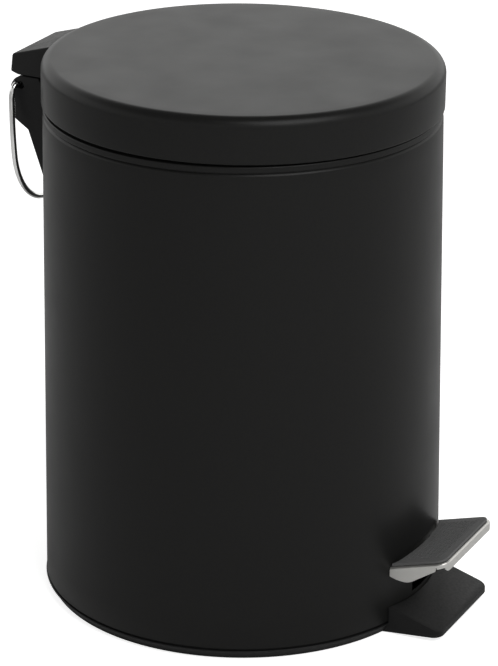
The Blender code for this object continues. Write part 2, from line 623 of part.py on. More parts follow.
def pedal(mats, axis):
    """The lever, the pressed plate, its pad and the two rivets."""
    slack = LEVER_THICK / 2
    top = plate_top(PLATE_BACK) - (PLATE_SHEET + GAP) / cos(PEDAL_SLOPE)
    mid_back = top - slack / cos(PEDAL_SLOPE)
    front_end = 124 * MM
    rear_end = 96.5 * MM
    bend = (AXLE_Y, mid_back - (PLATE_BACK + AXLE_Y) * tan(PEDAL_SLOPE))
    front_mid = (-front_end, mid_back + (front_end - PLATE_BACK) * tan(PEDAL_SLOPE))
    rear_mid = (rear_end, bend[1] + (rear_end - AXLE_Y) * tan(REAR_SLOPE))
    outline = [(front_mid[0], front_mid[1] + slack), (front_mid[0], front_mid[1] - slack),
               (bend[0], bend[1] - slack), (rear_mid[0], rear_mid[1] - slack),
               (rear_mid[0], rear_mid[1] + slack), (bend[0], bend[1] + slack)]
    lever = hang(extruded("pedal_lever", outline, LEVER_HALF), axis)
    barrel = hang(make_cutter(cylinder(4 * MM, 2 * LEVER_HALF, (0, AXLE_Y, AXLE_Z), "X"), "barrel"), axis)
    boolean(lever, barrel, "UNION")
    bore = hang(make_cutter(cylinder(AXLE_R + GAP, 40 * MM, (0, AXLE_Y, AXLE_Z), "X"), "lever_bore"), axis)
    boolean(lever, bore, "DIFFERENCE")

    plate = extruded("pedal_plate", pedal_plan(0.0, 6 * MM, body_r(PLATE_BACK_Z) + 0.6 * MM), 12 * MM,
                     side=False, centre=39 * MM)
    hang(plate, axis)
    side_cut = hang(make_cutter(extruded("tray_side", flange_side(), 40 * MM), "tray_side"), axis)
    boolean(plate, side_cut, "INTERSECT")
    hollow = extruded("tray_hollow", pedal_plan(PLATE_SHEET, 5 * MM, 90 * MM), 20 * MM,
                      side=False, centre=30 * MM)
    hang(make_cutter(hollow, "tray_hollow"), axis)
    drop = PLATE_SHEET / cos(PEDAL_SLOPE)
    below = hang(make_cutter(extruded("tray_below", pedal_band(-drop, 30 * MM), 45 * MM), "tray_below"), axis)
    boolean(hollow, below, "INTERSECT")
    boolean(plate, hollow, "DIFFERENCE")

    for name, x in (("pedal_rivet_left", -4.5 * MM), ("pedal_rivet_right", 4.5 * MM)):
        rho = 113 * MM
        surface = plate_top(rho)
        head_h = 1.2 * MM
        steel = (PLATE_SHEET + GAP + LEVER_THICK) / cos(PEDAL_SLOPE)
        lowest = surface - steel - GAP - head_h
        shank = cylinder(1.5 * MM, surface - 0.1 * MM - lowest - 0.2 * MM,
                         (x, -rho, (surface - 0.1 * MM + lowest + 0.2 * MM) / 2), "Z", 16)
        head = cylinder(2.6 * MM, head_h, (x, -rho, lowest + head_h / 2), "Z", 16)
        for thing in (shank, head):
            tilt_about(thing, (0.0, -rho, surface), -PEDAL_SLOPE)
        hang(shank, axis)
        make_cutter(shank, name + "_shank")
        boolean(head, shank, "UNION")
        hang(smooth(adopt(head, name, mats["zinc"])), axis)
        hole = cylinder(HOLE_R, 20 * MM, (x, -rho, surface), "Z", 16)
        tilt_about(hole, (0.0, -rho, surface), -PEDAL_SLOPE)
        hang(make_cutter(hole, name + "_hole"), axis)
        boolean(lever, hole, "DIFFERENCE")
        boolean(plate, hole, "DIFFERENCE")

    smooth(adopt(lever, "pedal_lever", mats["steel"]), radians(30))
    smooth(adopt(plate, "pedal_plate", mats["steel"]), radians(30))

    pad = extruded("pedal_pad", pedal_plan(1.6 * MM, 4.6 * MM, body_r(PLATE_BACK_Z) + 1.0 * MM), 12 * MM,
                   side=False, centre=42 * MM)
    hang(pad, axis)
    lift = (GAP + PAD_THICK) / cos(PEDAL_SLOPE)
    depth = PAD_THICK / cos(PEDAL_SLOPE)
    slab = hang(make_cutter(extruded("pad_slab", pedal_band(lift, depth), 45 * MM), "pad_slab"), axis)
    boolean(pad, slab, "INTERSECT")
    adopt(pad, "pedal_pad", mats["rubber"])


def tilt_about(thing, point, angle):
    """Turns an object about an axis along X through the point."""
    bpy.context.view_layer.update()
    place = Matrix.Translation(Vector(point))
    thing.matrix_world = place @ Matrix.Rotation(angle, 4, "X") @ place.inverted() @ thing.matrix_world


def push_rod(mats):
    """The rod that carries the lever's lift up to the lid's arm. Both ends are rounded."""
    foot = AXLE_Z + (ROD_Y - AXLE_Y) * tan(REAR_SLOPE) + LEVER_THICK / 2 + 0.7 * MM
    reach = (ROD_R + ARM_OFFSET + 0.5 * MM) / cos(ARM_DROP)
    crown = PIN_Z - (PIN_Y - ROD_Y) * tan(ARM_DROP) - reach + ROD_R
    profile = [(0.0, crown)]
    profile += [(ROD_R * sin(radians(a)), crown - ROD_R + ROD_R * cos(radians(a))) for a in (30, 60, 90)]
    profile += [(ROD_R, foot + 0.6 * MM), (ROD_R - 0.6 * MM, foot), (0.0, foot)]
    rod = turned("push_rod", profile, steps=16)
    rod.location = (0.0, ROD_Y, 0.0)
    return smooth(adopt(rod, "push_rod", mats["zinc"]))


# ---------------------------------------------------------------- handle and bucket

def handle_route():
    """Half of the hanging handle, from inside the bracket to the bottom, as (x, y, z)."""
    inner = 15.5 * MM
    shoulder = 25.3 * MM
    wide = 28.1 * MM
    deep_z = 222.0 * MM
    bend_r = 3.6 * MM
    lean = 0.078
    route = [(inner, HANDLE_Z), (19 * MM, HANDLE_Z)]
    route += [(shoulder - bend_r + bend_r * sin(radians(a)), HANDLE_Z - bend_r + bend_r * cos(radians(a)))
              for a in (0, 18, 36, 54, 72, 86)]
    for k in range(1, 5):
        t = k / 5
        route.append((shoulder + (wide - shoulder) * t, HANDLE_Z - bend_r + (deep_z - HANDLE_Z + bend_r) * t))
    for a in range(0, 90, 9):
        route.append((wide * cos(radians(a)), deep_z - 29.0 * MM * sin(radians(a))))
    points = []
    for x, z in route:
        drop = max(0.0, HANDLE_Z - z)
        out = 1.3 * MM * min(1.0, drop / (6 * MM))
        points.append((x, HANDLE_Y + out - lean * drop, z))
    return points


def carry_handle(mats, axis):
    half = handle_route()
    bottom = (0.0, half[-1][1] - 0.05 * MM, 193.0 * MM)
    points = [(-x, y, z) for x, y, z in half] + [bottom] + half[::-1]
    handle = hang(wire("carry_handle", points, HANDLE_R), axis)
    return smooth(adopt(handle, "carry_handle", mats["chrome"]))


def inner_bucket(mats, axis):
    """The lift-out plastic bucket, with an ear on each side for its bail."""
    top_r = 84.5 * MM
    bottom_r = 80.0 * MM
    w = BUCKET_WALL
    z0, z1 = BUCKET_BOTTOM, BUCKET_TOP
    profile = [
        (0.0, z0 + w), (bottom_r - w - 4 * MM, z0 + w), (bottom_r - w - 0.6 * MM, z0 + 5 * MM),
        (top_r - w, z1), (BUCKET_RIM_R, z1), (BUCKET_RIM_R, z1 - 4 * MM), (BUCKET_RIM_R - w, z1 - 4 * MM),
        (BUCKET_RIM_R - w, z1 - w), (top_r, z1 - w), (bottom_r, z0 + 4 * MM), (bottom_r - 4 * MM, z0),
        (0.0, z0)]
    bucket = hang(turned("inner_bucket", profile), axis)
    for side in (-1, 1):
        outline = [(-6 * MM, z1 - 1 * MM), (6 * MM, z1 - 1 * MM), (4.5 * MM, BAIL_Z)]
        outline += arc((0.0, BAIL_Z), 4.5 * MM, 15, 165, 8)
        outline += [(-4.5 * MM, BAIL_Z)]
        ear = extruded("bail_ear", outline, 1.1 * MM, centre=side * 85.5 * MM)
        hang(make_cutter(ear, "bail_ear"), axis)
        boolean(bucket, ear, "UNION")
        hole = cylinder(BAIL_R + GAP, 10 * MM, (side * 85.5 * MM, 0, BAIL_Z), "X", 16)
        hang(make_cutter(hole, "bail_hole"), axis)
        boolean(bucket, hole, "DIFFERENCE")
    return smooth(adopt(bucket, "inner_bucket", mats["bucket"]))


def bucket_bail(mats, axis):
    """The bucket's wire handle. It lies level over the front half of the rim."""
    sweep_r = 81.5 * MM
    points = [(88.0 * MM, 0.0, BAIL_Z), (82.6 * MM, -0.2 * MM, BAIL_Z)]
    for a in range(4, 177, 8):
        points.append((sweep_r * cos(radians(a)), -sweep_r * sin(radians(a)), BAIL_Z))
    points += [(-82.6 * MM, -0.2 * MM, BAIL_Z), (-88.0 * MM, 0.0, BAIL_Z)]
    bail = hang(wire("bucket_bail", points, BAIL_R), axis)
    return smooth(adopt(bail, "bucket_bail", mats["zinc"]))


def main():
    global collection, cutters
    clear_scene()
    collection = new_collection("pedal_bin")
    cutters = new_collection("cutters")
    mats = materials()

    base_moulding(mats)
    body_shell(mats)
    floor_disc(mats)
    lever_bracket(mats)
    lever_axle(mats)
    rod_guide(mats)
    rear_bracket(mats)
    hinge_pin(mats)

    lid_axis = pivot("lid_axis", PIN_Y, PIN_Z, tilt=LID_SETTLE)
    lid_shell(mats, lid_axis)
    hinge_cap(mats, lid_axis)
    lid_arm(mats, lid_axis)
    lid_bumpers(mats, lid_axis)

    pedal(mats, pivot("pedal_axis", AXLE_Y, AXLE_Z))
    push_rod(mats)
    carry_handle(mats, pivot("handle_axis", HANDLE_Y, HANDLE_Z))
    inner_bucket(mats, pivot("bucket_axis", 0.0, BUCKET_BOTTOM))
    bucket_bail(mats, pivot("bail_axis", 0.0, BAIL_Z))


main()
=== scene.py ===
"""Looks of a 5 litre pedal bin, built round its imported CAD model.

+Z is up, the floor is z = 0, the body's axis is the Z axis, the pedal points to -Y and the hinge is at
+Y. Every visible piece is made here over its CAD part and rides on that part's body. The hidden works
keep their CAD meshes and take a material.
"""

import json
from math import cos, pi, radians, sin, sqrt

import bmesh
import bpy
from mathutils import Matrix, Vector

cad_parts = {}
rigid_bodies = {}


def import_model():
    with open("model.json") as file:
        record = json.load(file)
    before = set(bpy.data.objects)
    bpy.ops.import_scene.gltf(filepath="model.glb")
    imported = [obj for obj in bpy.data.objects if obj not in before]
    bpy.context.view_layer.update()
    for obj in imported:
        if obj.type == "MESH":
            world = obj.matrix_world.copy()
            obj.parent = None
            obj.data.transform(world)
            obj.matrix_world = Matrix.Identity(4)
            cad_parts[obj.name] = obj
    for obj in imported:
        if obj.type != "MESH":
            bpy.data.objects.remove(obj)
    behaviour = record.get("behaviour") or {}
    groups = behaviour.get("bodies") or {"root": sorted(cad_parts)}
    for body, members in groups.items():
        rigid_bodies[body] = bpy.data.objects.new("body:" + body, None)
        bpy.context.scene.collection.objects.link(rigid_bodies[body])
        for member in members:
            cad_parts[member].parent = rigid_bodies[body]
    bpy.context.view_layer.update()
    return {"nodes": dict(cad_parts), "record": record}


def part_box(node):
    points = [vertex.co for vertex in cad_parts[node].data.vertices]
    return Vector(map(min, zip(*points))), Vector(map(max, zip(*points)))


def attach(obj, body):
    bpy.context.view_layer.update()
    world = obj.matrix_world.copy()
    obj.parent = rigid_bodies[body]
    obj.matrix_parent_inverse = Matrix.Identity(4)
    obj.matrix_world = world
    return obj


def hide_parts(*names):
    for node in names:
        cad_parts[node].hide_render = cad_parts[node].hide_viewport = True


bl_info = {
    "name": "Pedal Bin",
    "version": (1, 0, 0),
    "blender": (4, 5, 0),
    "location": "View3D > Sidebar > Pedal Bin",
    "description": "Builds the coat, the mouldings and the metal of a 5 litre pedal bin",
    "category": "Object",
}

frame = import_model()

MM = 0.001
BODY_FOOT_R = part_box("body_shell")[1].x
BODY_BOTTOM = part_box("body_shell")[0].z
NECK_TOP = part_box("body_shell")[1].z
LID_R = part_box("lid_shell")[1].x
BASE_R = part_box("base_moulding")[1].x
FOOT_FRONT = -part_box("base_moulding")[0].y
HINGE_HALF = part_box("hinge_cap")[1].x
PEDAL_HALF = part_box("pedal_plate")[1].x
PEDAL_FRONT = -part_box("pedal_plate")[0].y
BUCKET_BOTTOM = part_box("inner_bucket")[0].z
BUCKET_RIM_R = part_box("inner_bucket")[1].x

PIN_Y = 114.0 * MM
PIN_Z = 255.0 * MM
LID_TOP = 283.6 * MM
LID_EDGE = 260.6 * MM
LID_LEAN = radians(0.55)            # the closed lid leans a little towards the pedal
NECK_R = 97.5 * MM
SHOULDER_Z = 254.6 * MM             # the groove under the rolled bead
LID_FILLET = 5.6 * MM
BASE_H = 5.2 * MM
SHEET = 0.6 * MM
PEDAL_RISE = 0.279                  # slope of the pedal's top
PEDAL_BACK = 98 * MM                # distance in front of the axis of the pedal's back corners
PEDAL_BACK_Z = 36.0 * MM            # height of the pedal's top there
PAD_THICK = 1.3 * MM
PAD_INSET = 1.6 * MM                # the steel that shows round the pad
BUCKET_TOP = 245.0 * MM
BAIL_Z = 249.0 * MM
HANDLE_Y = 117.8 * MM
HANDLE_Z = 258.0 * MM
VIEW_HEADING = radians(-63.7)       # the camera stands this far round from the front
BODY_TOP_R = BODY_FOOT_R - 2.9 * MM     # the body widens a little towards its foot
FINE = 256                          # facets round the big turned pieces
FOOT_TOP_LINE = ((98.5 * MM, 14.4 * MM), (FOOT_FRONT, 5.7 * MM))
FOOT_UNDER_LINE = ((95.0 * MM, 0.0), (FOOT_FRONT, 2.7 * MM))


def body_r(z):
    """The body's outside radius at a height below the bead."""
    share = (SHOULDER_Z - z) / (SHOULDER_Z - BODY_BOTTOM)
    return BODY_TOP_R + (BODY_FOOT_R - BODY_TOP_R) * share


class PedalBinLooks(bpy.types.PropertyGroup):
    """Sizes and colours that a user would change."""

    coat: bpy.props.FloatVectorProperty(
        name="Coat", description="Powder coat of the body and the lid", subtype="COLOR",
        default=(0.0085, 0.0085, 0.0082), min=0.0, max=1.0)
    moulding: bpy.props.FloatVectorProperty(
        name="Mouldings", description="Plastic of the base, the bracket and the cap", subtype="COLOR",
        default=(0.006, 0.006, 0.0061), min=0.0, max=1.0)
    pad: bpy.props.FloatVectorProperty(
        name="Pad", description="Rubber of the pedal's pad", subtype="COLOR",
        default=(0.0035, 0.0035, 0.0035), min=0.0, max=1.0)
    steel: bpy.props.FloatVectorProperty(
        name="Pedal steel", description="Satin steel of the pedal", subtype="COLOR",
        default=(0.86, 0.835, 0.78), min=0.0, max=1.0)
    chrome: bpy.props.FloatVectorProperty(
        name="Wire", description="Chrome of the carry handle", subtype="COLOR",
        default=(0.85, 0.85, 0.84), min=0.0, max=1.0)
    bucket: bpy.props.FloatVectorProperty(
        name="Bucket", description="Plastic of the lift-out bucket", subtype="COLOR",
        default=(0.022, 0.022, 0.023), min=0.0, max=1.0)
    floor: bpy.props.FloatVectorProperty(
        name="Floor", description="The pale floor", subtype="COLOR",
        default=(0.86, 0.86, 0.86), min=0.0, max=1.0)
    edge_round: bpy.props.FloatProperty(
        name="Edge rounding", description="Rounding of the mouldings' edges", unit="LENGTH",
        default=0.7 * MM, min=0.1 * MM, max=1.5 * MM)
    grid_pitch: bpy.props.FloatProperty(
        name="Grid pitch", description="Distance between the raised squares on the pad", unit="LENGTH",
        default=2.0 * MM, min=1.2 * MM, max=4.0 * MM)
    grid_height: bpy.props.FloatProperty(
        name="Grid height", description="Height of the raised squares on the pad", unit="LENGTH",
        default=0.3 * MM, min=0.1 * MM, max=0.6 * MM)


# ---------------------------------------------------------------- mesh helpers

def arc(centre, radius, start, end, steps):
    """Points of a round stretch, from one angle to another, in degrees."""
    angles = [radians(start + (end - start) * i / steps) for i in range(steps + 1)]
    return [(centre[0] + radius * cos(a), centre[1] + radius * sin(a)) for a in angles]


def linked(name, mesh):
    thing = bpy.data.objects.new(name, mesh)
    bpy.context.scene.collection.objects.link(thing)
    return thing


def made_mesh(thing):
    """A new mesh of the thing as its modifiers or its bevel make it."""
    bpy.context.view_layer.update()
    made = thing.evaluated_get(bpy.context.evaluated_depsgraph_get())
    return bpy.data.meshes.new_from_object(made)


def settled(thing, sharp=32):
    """Applies a piece's modifiers, smooths it, and keeps the edges over the angle sharp."""
    mesh = made_mesh(thing)
    mesh.name = thing.name
    thing.modifiers.clear()
    thing.data = mesh
    mesh.shade_smooth()
    mesh.set_sharp_from_angle(angle=radians(sharp))
    return thing


def turned(name, profile, steps=FINE):
    """A line of (radius, height) points turned round the Z axis."""
    mesh = bpy.data.meshes.new(name)
    edges = [(i, i + 1) for i in range(len(profile) - 1)]
    mesh.from_pydata([(r, 0.0, z) for r, z in profile], edges, [])
    thing = linked(name, mesh)
    screw = thing.modifiers.new("turn", "SCREW")
    screw.axis = "Z"
    screw.angle = 2 * pi
    screw.steps = steps
    screw.render_steps = steps
    screw.use_merge_vertices = True
    screw.merge_threshold = 0.00001
    return thing


def thicken(thing, thickness):
    solid = thing.modifiers.new("sheet", "SOLIDIFY")
    solid.thickness = thickness
    solid.offset = -1.0
    solid.use_even_offset = True
    return thing


def slab(name, outline, half, centre=0.0, upright=True):
    """A solid from a flat outline. Upright, it is one of (y, z) points with its thickness along X, and
    otherwise one of (x, y) points with its thickness along Z."""
    work = bmesh.new()
    if upright:
        corners = [work.verts.new((centre - half, u, v)) for u, v in outline]
        push = Vector((2 * half, 0.0, 0.0))
    else:
        corners = [work.verts.new((u, v, centre - half)) for u, v in outline]
        push = Vector((0.0, 0.0, 2 * half))
    face = work.faces.new(corners)
    grown = bmesh.ops.extrude_face_region(work, geom=[face])
    moved = [item for item in grown["geom"] if isinstance(item, bmesh.types.BMVert)]
    bmesh.ops.translate(work, vec=push, verts=moved)
    bmesh.ops.recalc_face_normals(work, faces=work.faces)
    mesh = bpy.data.meshes.new(name)
    work.to_mesh(mesh)
    work.free()
    return linked(name, mesh)


def rounded(thing, width, segments=3, angle=30):
    bevel = thing.modifiers.new("edges", "BEVEL")
    bevel.width = width
    bevel.segments = segments
    bevel.limit_method = "ANGLE"
    bevel.angle_limit = radians(angle)
    return thing


def cut(thing, tool):
    """Cuts with a tool that is then thrown away."""
    mod = thing.modifiers.new("cut", "BOOLEAN")
    mod.operation = "DIFFERENCE"
    mod.solver = "EXACT"
    mod.object = tool
    mesh = made_mesh(thing)
    thing.modifiers.clear()
    thing.data = mesh
    bpy.data.objects.remove(tool, do_unlink=True)
    return thing


def rod(name, radius, length, centre, axis="X", sides=48):
    turn = {"X": (0.0, pi / 2, 0.0), "Y": (pi / 2, 0.0, 0.0), "Z": (0.0, 0.0, 0.0)}[axis]
    bpy.ops.mesh.primitive_cylinder_add(vertices=sides, radius=radius, depth=length,
                                        location=centre, rotation=turn)
    thing = bpy.context.object
    thing.name = name
    return thing


def block(name, low, high):
    middle = [(a + b) / 2 for a, b in zip(low, high)]
    bpy.ops.mesh.primitive_cube_add(size=1.0, location=middle)
    thing = bpy.context.object
    thing.name = name
    thing.scale = [b - a for a, b in zip(low, high)]
    bpy.ops.object.transform_apply(location=False, rotation=False, scale=True)
    return thing


def bent_wire(name, points, radius):
    """A round wire through the points, with closed ends."""
    curve = bpy.data.curves.new(name, "CURVE")
    curve.dimensions = "3D"
    curve.bevel_depth = radius
    curve.bevel_resolution = 7
    curve.use_fill_caps = True
    spline = curve.splines.new("POLY")
    spline.points.add(len(points) - 1)
    for point, place in zip(spline.points, points):
        point.co = (*place, 1.0)
    line = linked(name, curve)
    mesh = made_mesh(line)
    bpy.data.objects.remove(line, do_unlink=True)
    thing = linked(name, mesh)
    mesh.shade_smooth()
    mesh.set_sharp_from_angle(angle=radians(40))
    return thing


def lean_with_lid(thing):
    """Turns a piece made level to the closed lid's lean, about the hinge pin."""
    place = Matrix.Translation((0.0, PIN_Y, PIN_Z))
    lean = place @ Matrix.Rotation(LID_LEAN, 4, "X") @ place.inverted()
    bpy.context.view_layer.update()
    thing.matrix_world = lean @ thing.matrix_world
    return thing


def fitted(thing, material, body, slot, *nodes):
    """Gives a piece its material and its body, and hides the CAD nodes that it stands for. Its slot is not
    used.
    """
    thing.data.materials.clear()
    thing.data.materials.append(material)
    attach(thing, body)
    if nodes:
        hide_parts(*nodes)
    return thing


# ---------------------------------------------------------------- materials

def map_range(tree, value, start, end, low, high):
    """A value's run from start to end, turned into one from low to high."""
    ramp = tree.nodes.new("ShaderNodeMapRange")
    ramp.inputs["From Min"].default_value = start
    ramp.inputs["From Max"].default_value = end
    ramp.inputs["To Min"].default_value = low
    ramp.inputs["To Max"].default_value = high
    tree.links.new(value, ramp.inputs["Value"])
    return ramp.outputs["Result"]


class Finish:
    """A Principled material with the nodes for its grain."""

    def __init__(self, name, colour, roughness, metallic=0.0, ior=1.45):
        self.material = bpy.data.materials.new(name)
        self.material.use_nodes = True
        self.tree = self.material.node_tree
        self.shader = self.tree.nodes["Principled BSDF"]
        self.colour = colour
        self.shader.inputs["Base Color"].default_value = (*colour, 1.0)
        self.shader.inputs["Roughness"].default_value = roughness
        self.shader.inputs["Metallic"].default_value = metallic
        self.shader.inputs["IOR"].default_value = ior
        self.places = self.tree.nodes.new("ShaderNodeTexCoord")
        self.height = None

    def link(self, source, target):
        self.tree.links.new(source, target)

    def noise(self, scale, detail=3.0, stretch=(1.0, 1.0, 1.0)):
        mapping = self.tree.nodes.new("ShaderNodeMapping")
        mapping.inputs["Scale"].default_value = stretch
        texture = self.tree.nodes.new("ShaderNodeTexNoise")
        texture.inputs["Scale"].default_value = scale
        texture.inputs["Detail"].default_value = detail
        self.link(self.places.outputs["Object"], mapping.inputs["Vector"])
        self.link(mapping.outputs["Vector"], texture.inputs["Vector"])
        return texture.outputs["Fac"]

    def spread(self, value, low, high):
        """A noise's usual run, spread from low to high."""
        return map_range(self.tree, value, 0.3, 0.7, low, high)

    def vary_roughness(self, value, low, high):
        self.link(self.spread(value, low, high), self.shader.inputs["Roughness"])

    def vary_colour(self, value, dark, light):
        mix = self.tree.nodes.new("ShaderNodeMix")
        mix.data_type = "RGBA"
        mix.inputs[6].default_value = (*[c * dark for c in self.colour], 1.0)
        mix.inputs[7].default_value = (*[c * light for c in self.colour], 1.0)
        self.link(self.spread(value, 0.0, 1.0), mix.inputs[0])
        self.link(mix.outputs[2], self.shader.inputs["Base Color"])

    def bump(self, value, strength, depth):
        """Adds a layer of relief over those that are there."""
        layer = self.tree.nodes.new("ShaderNodeBump")
        layer.inputs["Strength"].default_value = strength
        layer.inputs["Distance"].default_value = depth
        self.link(value, layer.inputs["Height"])
        if self.height is not None:
            self.link(self.height, layer.inputs["Normal"])
        self.height = layer.outputs["Normal"]
        self.link(self.height, self.shader.inputs["Normal"])


def coat_finish(looks):
    """Matt powder coat: a fine, soft orange peel."""
    finish = Finish("powder_coat", looks.coat, 0.34, ior=1.25)
    finish.vary_colour(finish.noise(900, 2.0), 0.88, 1.12)
    finish.vary_roughness(finish.noise(35, 4.0), 0.34, 0.39)
    finish.bump(finish.noise(1500, 2.0), 0.10, 0.05 * MM)
    finish.bump(finish.noise(420, 1.0), 0.05, 0.08 * MM)
    return finish.material


def moulding_finish(looks):
    """Moulded plastic with a fine spark-eroded grain."""
    finish = Finish("moulded_plastic", looks.moulding, 0.5, ior=1.3)
    finish.vary_colour(finish.noise(1200, 3.0), 0.8, 1.2)
    finish.vary_roughness(finish.noise(700, 3.0), 0.44, 0.58)
    finish.bump(finish.noise(2200, 4.0), 0.28, 0.06 * MM)
    return finish.material


def pad_finish(looks):
    finish = Finish("pad_rubber", looks.pad, 0.36, ior=1.22)
    finish.vary_roughness(finish.noise(500, 3.0), 0.3, 0.42)
    finish.bump(finish.noise(1700, 3.0), 0.2, 0.05 * MM)
    return finish.material


def stud_finish():
    finish = Finish("stud_rubber", (0.012, 0.012, 0.012), 0.65, ior=1.4)
    finish.vary_roughness(finish.noise(900, 3.0), 0.55, 0.75)
    finish.bump(finish.noise(2500, 2.0), 0.15, 0.04 * MM)
    return finish.material


def steel_finish(looks):
    """Satin steel, brushed from front to back: the lines turn down with the front flange."""
    finish = Finish("satin_steel", looks.steel, 0.34, metallic=1.0)
    tree = finish.tree
    along_sides = finish.noise(1.0, 3.0, stretch=(2600.0, 40.0, 3400.0))
    down_front = finish.noise(1.0, 3.0, stretch=(2600.0, 400.0, 60.0))
    facing = tree.nodes.new("ShaderNodeSeparateXYZ")
    finish.link(finish.places.outputs["Normal"], facing.inputs["Vector"])
    size = tree.nodes.new("ShaderNodeMath")
    size.operation = "ABSOLUTE"
    finish.link(facing.outputs["Y"], size.inputs[0])
    on_front = map_range(tree, size.outputs["Value"], 0.4, 0.6, 0.0, 1.0)
    brushed = tree.nodes.new("ShaderNodeMix")
    finish.link(on_front, brushed.inputs[0])
    finish.link(along_sides, brushed.inputs[2])
    finish.link(down_front, brushed.inputs[3])
    lines = brushed.outputs[0]
    finish.vary_colour(lines, 0.86, 1.06)
    finish.vary_roughness(lines, 0.28, 0.42)
    finish.bump(lines, 0.22, 0.03 * MM)
    return finish.material


def chrome_finish(looks):
    finish = Finish("chrome", looks.chrome, 0.1, metallic=1.0)
    finish.vary_roughness(finish.noise(260, 3.0), 0.07, 0.15)
    finish.bump(finish.noise(300, 2.0), 0.03, 0.05 * MM)
    return finish.material


def zinc_finish():
    """Dull zinc plate on the works inside."""
    finish = Finish("zinc_plate", (0.46, 0.47, 0.48), 0.42, metallic=1.0)
    finish.vary_colour(finish.noise(180, 4.0), 0.85, 1.08)
    finish.vary_roughness(finish.noise(90, 4.0), 0.34, 0.5)
    finish.bump(finish.noise(800, 2.0), 0.06, 0.04 * MM)
    return finish.material


def bucket_finish(looks):
    finish = Finish("bucket_plastic", looks.bucket, 0.4, ior=1.45)
    finish.vary_roughness(finish.noise(120, 4.0), 0.34, 0.46)
    finish.bump(finish.noise(1300, 3.0), 0.12, 0.05 * MM)
    return finish.material


def shared(name, make, *values):
    """The material of that name, made the first time it is asked for."""
    return bpy.data.materials.get(name) or make(*values)


# ---------------------------------------------------------------- body

def body_line():
    """The body's wall, from the neck's edge down its outside, over the rolled bead, and up its inside."""
    bead_top = SHOULDER_Z + 3.5 * MM
    bead_r = BODY_TOP_R - 0.15 * MM
    groove_r = BODY_TOP_R - 1.1 * MM
    hollow, crown, tuck = 0.9 * MM, 0.8 * MM, 0.6 * MM      # radii of the bead's three bends
    line = [(NECK_R, NECK_TOP), (NECK_R, bead_top + 1.6 * MM)]
    line += arc((NECK_R + hollow, bead_top + hollow), hollow, 180, 260, 4)
    line += arc((bead_r - crown, bead_top - crown), crown, 90, 0, 7)
    line += arc((bead_r - tuck, SHOULDER_Z + 0.9 * MM), tuck, 0, -60, 4)
    line += [(groove_r, SHOULDER_Z + 0.15 * MM),
             (groove_r, SHOULDER_Z - 0.15 * MM),
             (BODY_TOP_R - 0.45 * MM, SHOULDER_Z - 0.75 * MM),
             (BODY_TOP_R - 0.1 * MM, SHOULDER_Z - 1.2 * MM),
             (BODY_TOP_R, SHOULDER_Z - 1.8 * MM)]
    line += [(body_r(z * MM), z * MM) for z in (245, 200, 150, 100, 50, 20)]
    line += [(BODY_FOOT_R, BODY_BOTTOM + 0.4 * MM), (BODY_FOOT_R - 0.15 * MM, BODY_BOTTOM),
             (BODY_FOOT_R - SHEET, BODY_BOTTOM), (body_r(240 * MM) - SHEET, 240 * MM),
             (NECK_R - SHEET, bead_top + 0.6 * MM), (NECK_R - SHEET, NECK_TOP)]
    return line + line[:1]


class PEDALBIN_OT_body(bpy.types.Operator):
    """Makes the coated body with its neck, its bead, the lever's slot and the lid arm's notch"""

    bl_idname = "pedalbin.body"
    bl_label = "Body"

    def execute(self, context):
        coat = shared("powder_coat", coat_finish, context.scene.pedal_bin)
        body = settled(turned("body_skin", body_line()))
        slot_half, slot_low, slot_high = 11 * MM, 15.2 * MM, 37.4 * MM
        cut(body, block("slot_tool", (-slot_half, -110 * MM, slot_low), (slot_half, -90 * MM, slot_high)))
        notch_half, notch_low = 10 * MM, 251.8 * MM
        cut(body, block("notch_tool", (-notch_half, 92 * MM, notch_low), (notch_half, 110 * MM, 290 * MM)))
        fitted(settled(body), coat, "bin", "black_coat", "body_shell")
        return {"FINISHED"}


# ---------------------------------------------------------------- base

def height_on(line, distance):
    """Height at a distance in front of the axis, on the straight line through two points."""
    (d0, z0), (d1, z1) = line
    return z0 + (z1 - z0) * (distance - d0) / (d1 - d0)


def foot_block(round_edge):
    """The guard foot: round front corners, a sloping top and an underside that rises to the front."""
    half = 31.8 * MM
    corner = 5.0 * MM
    root = -80 * MM                 # inside the body, where the body's room cuts it off
    front = -FOOT_FRONT
    plan = [(half, root), (-half, root)]
    plan += arc((-half + corner, front + corner), corner, 180, 270, 8)
    plan += arc((half - corner, front + corner), corner, 270, 360, 8)
    foot = slab("guard_foot", plan, 10 * MM, centre=10 * MM, upright=False)
    far, tool_half = 150 * MM, 50 * MM
    near_top, above = 60 * MM, 80 * MM
    cut(foot, slab("slope_tool", [
        (-far, height_on(FOOT_TOP_LINE, far)), (-near_top, height_on(FOOT_TOP_LINE, near_top)),
        (-near_top, above), (-far, above)], tool_half))
    near_under, below = 94 * MM, -20 * MM
    cut(foot, slab("under_tool", [
        (-far, height_on(FOOT_UNDER_LINE, far)), (-far, below),
        (-near_under, below), (-near_under, height_on(FOOT_UNDER_LINE, near_under))], tool_half))
    return settled(rounded(foot, round_edge), 30)


